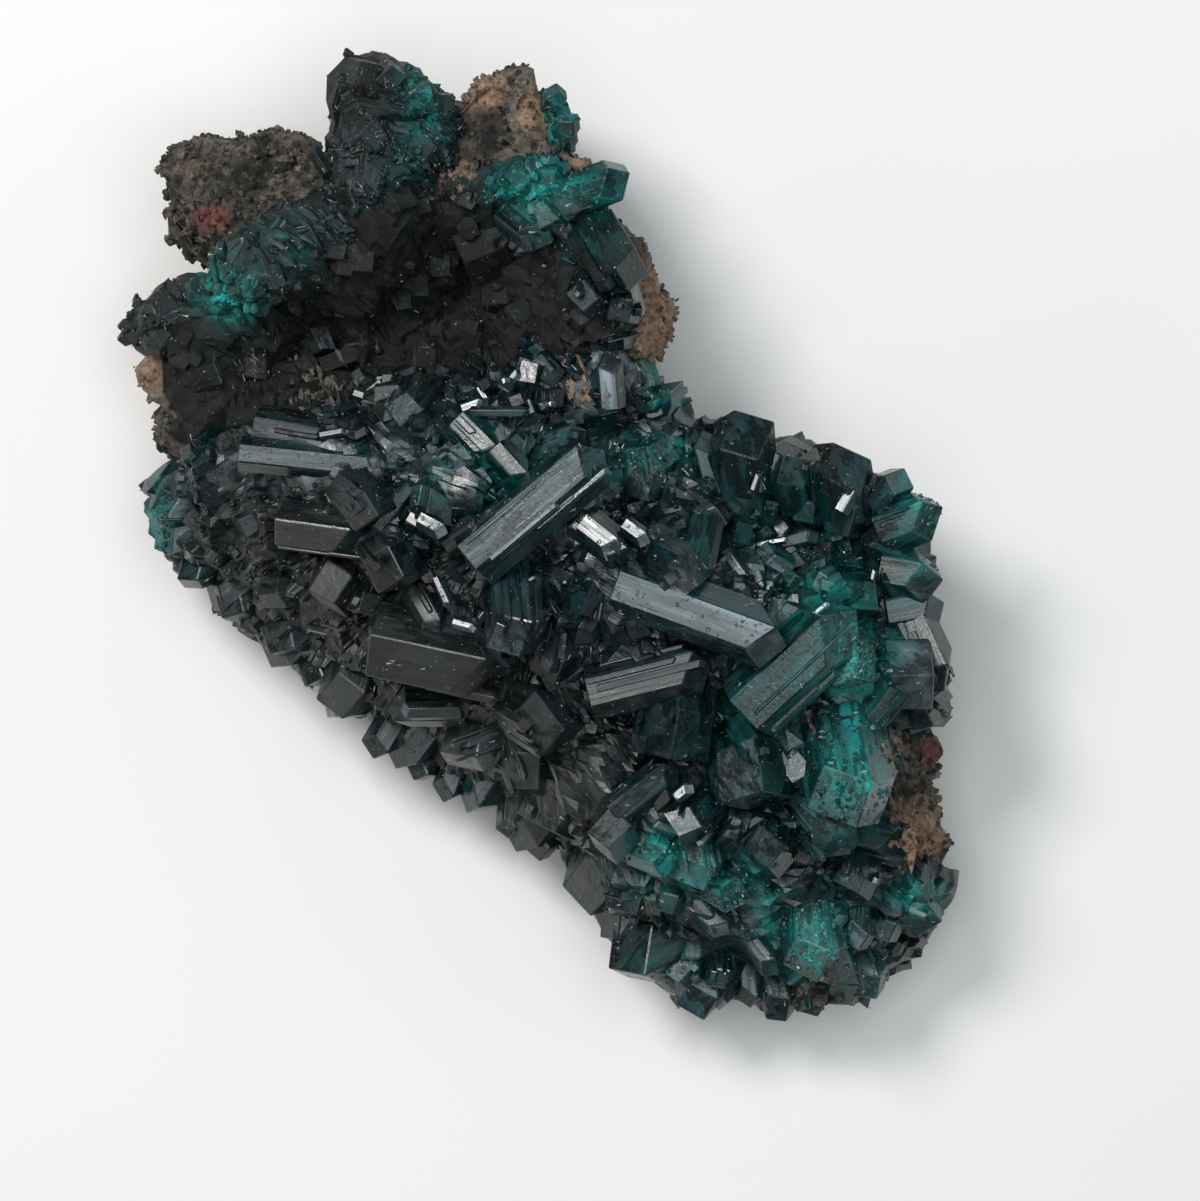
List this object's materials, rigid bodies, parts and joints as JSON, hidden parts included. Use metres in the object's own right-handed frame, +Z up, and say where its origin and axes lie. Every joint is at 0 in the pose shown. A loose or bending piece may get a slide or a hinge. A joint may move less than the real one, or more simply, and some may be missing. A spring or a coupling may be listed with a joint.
{
  "type": "mineral specimen",
  "caption": "Hand specimen of dark green prismatic dioptase crystals crusted over an irregular brown rock, with a ridge of long striated prisms and a deep crystal-lined hollow beside it",
  "frame": {"origin": "middle of the footprint's bounding box, on the surface that the specimen's flat broken back rests on", "axes": "+Z up out of the crystal-bearing face, the direction that the picture looks from; +Y towards the upper end of the picture, the longest extent; +X to its right"},
  "size_m": [0.068, 0.0782, 0.0322],
  "materials": {
    "host_rock": "rough, granular brown matrix with tan and rusty spots",
    "dioptase": "vitreous, nearly opaque blackish green prisms with fine length-wise striations and greyish faces",
    "bright_dioptase": "vitreous to milky teal green, translucent at the tips and thin edges",
    "dark_dioptase": "near-black, brownish small crystals in shade"
  },
  "bodies": {
    "root": {"host_rock": "host_rock", "main_druse": "dioptase", "shoulder_druse": "dioptase", "rim_druse": "bright_dioptase", "crest_druse": "bright_dioptase", "hollow_crust": "dark_dioptase"}
  },
  "joints": []
}
